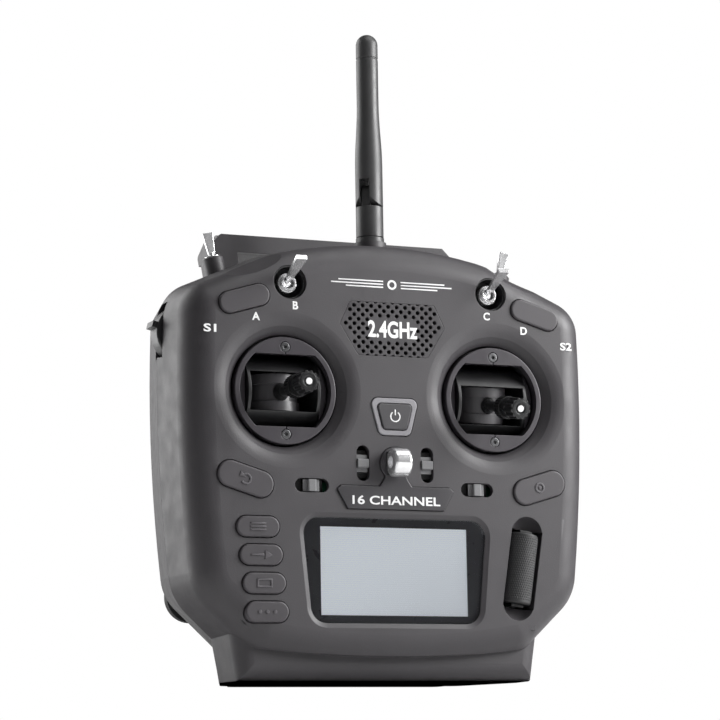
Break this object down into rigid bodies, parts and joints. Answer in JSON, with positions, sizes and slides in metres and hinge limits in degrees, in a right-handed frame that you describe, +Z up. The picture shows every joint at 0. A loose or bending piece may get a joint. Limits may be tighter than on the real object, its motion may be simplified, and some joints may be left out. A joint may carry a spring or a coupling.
{
  "type": "radio transmitter controller",
  "caption": "Hand-held radio control transmitter with two gimbal sticks, toggle switches, push keys, trims, a small screen, a scroll roller, a folding antenna and a rear carrying handle.",
  "frame": {"origin": "centre of the flat underside that the transmitter stands on, below the middle of the body", "axes": "+X to the user's right, +Y away from the user towards the back, +Z up along the antenna"},
  "size_m": [0.1766, 0.105, 0.2535],
  "materials": {
    "shell": "fine spark-eroded matt texture",
    "smooth_plastic": "finer matt texture",
    "key": "matt silicone rubber with raised marks",
    "trim_plastic": "satin",
    "power_key": "matt with a white mark",
    "power_light": "frosted light guide",
    "lens": "clear, glossy",
    "screen_print": "printed behind the lens",
    "display": "reflective liquid crystal panel",
    "label": "smooth moulded",
    "chrome": "bright plated",
    "ring_plastic": "satin grey",
    "black_plastic": "satin black",
    "drum_plastic": "satin dark grey",
    "stick_metal": "black anodised",
    "roller": "knurled",
    "antenna_plastic": "satin",
    "steel": "screw heads and pin",
    "rubber": "grip rubber",
    "cell": "plastic sleeve",
    "board": "solder mask"
  },
  "bodies": {
    "body": {"antenna_base": "antenna_plastic", "battery_cells": "cell", "dial_brackets": "black_plastic", "front_shell": "shell", "gimbal_cheeks": "ring_plastic", "gimbal_housings": "black_plastic", "gimbal_rings": "ring_plastic", "gimbal_screws": "steel", "grip_pads": "rubber", "handle": "shell", "label_plate": "label", "lcd_panel": "display", "main_pcb": "board", "module_bay_cover": "smooth_plastic", "power_ring": "power_light", "rear_shell": "shell", "screen_lens": "lens", "screen_mask": "screen_print", "shell_screws": "steel", "shoulder_collars": "shell", "speaker": "black_plastic", "speaker_grille": "smooth_plastic", "strap_eyelet": "chrome", "toggle_bushings": "chrome", "toggle_cases": "black_plastic", "toggle_cups": "black_plastic", "toggle_nuts": "chrome"},
    "column_key_1": {"column_key_1": "key"},
    "column_key_2": {"column_key_2": "key"},
    "column_key_3": {"column_key_3": "key"},
    "column_key_4": {"column_key_4": "key"},
    "oblong_key_left": {"oblong_key_left": "key"},
    "oblong_key_right": {"oblong_key_right": "key"},
    "shoulder_key_left": {"shoulder_key_left": "key"},
    "shoulder_key_right": {"shoulder_key_right": "key"},
    "power_button": {"power_button": "power_key"},
    "trim_upright_left": {"trim_upright_left": "trim_plastic"},
    "trim_level_left": {"trim_level_left": "trim_plastic"},
    "trim_upright_right": {"trim_upright_right": "trim_plastic"},
    "trim_level_right": {"trim_level_right": "trim_plastic"},
    "gimbal_left": {"gimbal_yoke_left": "black_plastic"},
    "stick_left": {"gimbal_drum_left": "drum_plastic", "stick_post_left": "stick_metal", "stick_cap_left": "stick_metal"},
    "gimbal_right": {"gimbal_yoke_right": "black_plastic"},
    "stick_right": {"gimbal_drum_right": "drum_plastic", "stick_post_right": "stick_metal", "stick_cap_right": "stick_metal"},
    "toggle_lever_front_left": {"toggle_lever_front_left": "chrome"},
    "toggle_lever_shoulder_left": {"toggle_lever_shoulder_left": "chrome"},
    "toggle_lever_front_right": {"toggle_lever_front_right": "chrome"},
    "toggle_lever_shoulder_right": {"toggle_lever_shoulder_right": "chrome"},
    "roller_carrier": {"roller_carrier": "black_plastic"},
    "scroll_roller": {"scroll_roller": "roller"},
    "side_dial_left": {"side_dial_left": "black_plastic"},
    "side_dial_right": {"side_dial_right": "black_plastic"},
    "antenna_knuckle": {"antenna_knuckle": "antenna_plastic"},
    "antenna_mast": {"antenna_mast": "antenna_plastic", "antenna_hinge_pin": "steel"},
    "battery_cover": {"battery_cover": "smooth_plastic"}
  },
  "joints": [
    {"name": "column_key_1_press", "type": "slide", "parent": "body", "child": "column_key_1", "axis": [0, 1, 0], "range_m": [0, 0.0007], "stiffness_N_per_m": 500},
    {"name": "column_key_2_press", "type": "slide", "parent": "body", "child": "column_key_2", "axis": [0, 1, 0], "range_m": [0, 0.0007], "stiffness_N_per_m": 500},
    {"name": "column_key_3_press", "type": "slide", "parent": "body", "child": "column_key_3", "axis": [0, 1, 0], "range_m": [0, 0.0007], "stiffness_N_per_m": 500},
    {"name": "column_key_4_press", "type": "slide", "parent": "body", "child": "column_key_4", "axis": [0, 1, 0], "range_m": [0, 0.0007], "stiffness_N_per_m": 500},
    {"name": "oblong_key_left_press", "type": "slide", "parent": "body", "child": "oblong_key_left", "axis": [0, 1, 0], "range_m": [0, 0.0007], "stiffness_N_per_m": 500},
    {"name": "oblong_key_right_press", "type": "slide", "parent": "body", "child": "oblong_key_right", "axis": [0, 1, 0], "range_m": [0, 0.0007], "stiffness_N_per_m": 500},
    {"name": "shoulder_key_left_press", "type": "slide", "parent": "body", "child": "shoulder_key_left", "axis": [0, 1, 0], "range_m": [0, 0.0007], "stiffness_N_per_m": 500},
    {"name": "shoulder_key_right_press", "type": "slide", "parent": "body", "child": "shoulder_key_right", "axis": [0, 1, 0], "range_m": [0, 0.0007], "stiffness_N_per_m": 500},
    {"name": "power_button_press", "type": "slide", "parent": "body", "child": "power_button", "axis": [0, 1, 0], "range_m": [0, 0.0008], "stiffness_N_per_m": 500},
    {"name": "trim_upright_left_slide", "type": "slide", "parent": "body", "child": "trim_upright_left", "axis": [0, 0, 1], "range_m": [-0.0018, 0.0018], "stiffness_N_per_m": 300},
    {"name": "trim_level_left_slide", "type": "slide", "parent": "body", "child": "trim_level_left", "axis": [1, 0, 0], "range_m": [-0.0018, 0.0018], "stiffness_N_per_m": 300},
    {"name": "trim_upright_right_slide", "type": "slide", "parent": "body", "child": "trim_upright_right", "axis": [0, 0, 1], "range_m": [-0.0018, 0.0018], "stiffness_N_per_m": 300},
    {"name": "trim_level_right_slide", "type": "slide", "parent": "body", "child": "trim_level_right", "axis": [1, 0, 0], "range_m": [-0.0018, 0.0018], "stiffness_N_per_m": 300},
    {"name": "stick_left_pitch", "type": "hinge", "parent": "body", "child": "gimbal_left", "pos_m": [-0.043, -0.021, 0.1075], "axis": [1, 0, 0], "range_deg": [-25, 25], "stiffness_Nm_per_rad": 0.05},
    {"name": "stick_left_yaw", "type": "hinge", "parent": "gimbal_left", "child": "stick_left", "pos_m": [-0.043, -0.021, 0.1075], "axis": [0, 0, 1], "range_deg": [-25, 25], "stiffness_Nm_per_rad": 0.05},
    {"name": "stick_right_pitch", "type": "hinge", "parent": "body", "child": "gimbal_right", "pos_m": [0.043, -0.021, 0.1075], "axis": [1, 0, 0], "range_deg": [-35, 15]},
    {"name": "stick_right_yaw", "type": "hinge", "parent": "gimbal_right", "child": "stick_right", "pos_m": [0.043, -0.021, 0.1075], "axis": [0, -0.1736, 0.9848], "range_deg": [-25, 25], "stiffness_Nm_per_rad": 0.05},
    {"name": "toggle_front_left_throw", "type": "hinge", "parent": "body", "child": "toggle_lever_front_left", "pos_m": [-0.0416, -0.034, 0.1484], "axis": [1, 0, 0], "range_deg": [0, 47]},
    {"name": "toggle_shoulder_left_throw", "type": "hinge", "parent": "body", "child": "toggle_lever_shoulder_left", "pos_m": [-0.06054, -0.0061, 0.16012], "axis": [0.9763, 0, 0.2164], "range_deg": [-20, 20]},
    {"name": "toggle_front_right_throw", "type": "hinge", "parent": "body", "child": "toggle_lever_front_right", "pos_m": [0.0416, -0.034, 0.1484], "axis": [1, 0, 0], "range_deg": [0, 47]},
    {"name": "toggle_shoulder_right_throw", "type": "hinge", "parent": "body", "child": "toggle_lever_shoulder_right", "pos_m": [0.06054, -0.0061, 0.16012], "axis": [0.9763, 0, -0.2164], "range_deg": [-20, 20]},
    {"name": "scroll_roller_press", "type": "slide", "parent": "body", "child": "roller_carrier", "axis": [0, 1, 0], "range_m": [0, 0.0006], "stiffness_N_per_m": 1200},
    {"name": "scroll_roller_spin", "type": "hinge", "parent": "roller_carrier", "child": "scroll_roller", "pos_m": [0.05245, -0.0345, 0.0423], "axis": [0.1564, 0, 0.9877], "continuous": true},
    {"name": "side_dial_left_turn", "type": "hinge", "parent": "body", "child": "side_dial_left", "pos_m": [-0.0755, -0.011, 0.131], "axis": [0, 1, 0], "range_deg": [-40, 15]},
    {"name": "side_dial_right_turn", "type": "hinge", "parent": "body", "child": "side_dial_right", "pos_m": [0.0755, -0.011, 0.131], "axis": [0, -1, 0], "range_deg": [-40, 15]},
    {"name": "antenna_swivel", "type": "hinge", "parent": "body", "child": "antenna_knuckle", "pos_m": [0, -0.0175, 0.178], "axis": [0, 0, 1], "continuous": true},
    {"name": "antenna_fold", "type": "hinge", "parent": "antenna_knuckle", "child": "antenna_mast", "pos_m": [0, -0.0175, 0.1894], "axis": [0.7071, -0.7071, 0], "range_deg": [0, 90]},
    {"name": "battery_cover_slide", "type": "slide", "parent": "body", "child": "battery_cover", "axis": [0, 0, 1], "range_m": [0, 0.014]}
  ]
}
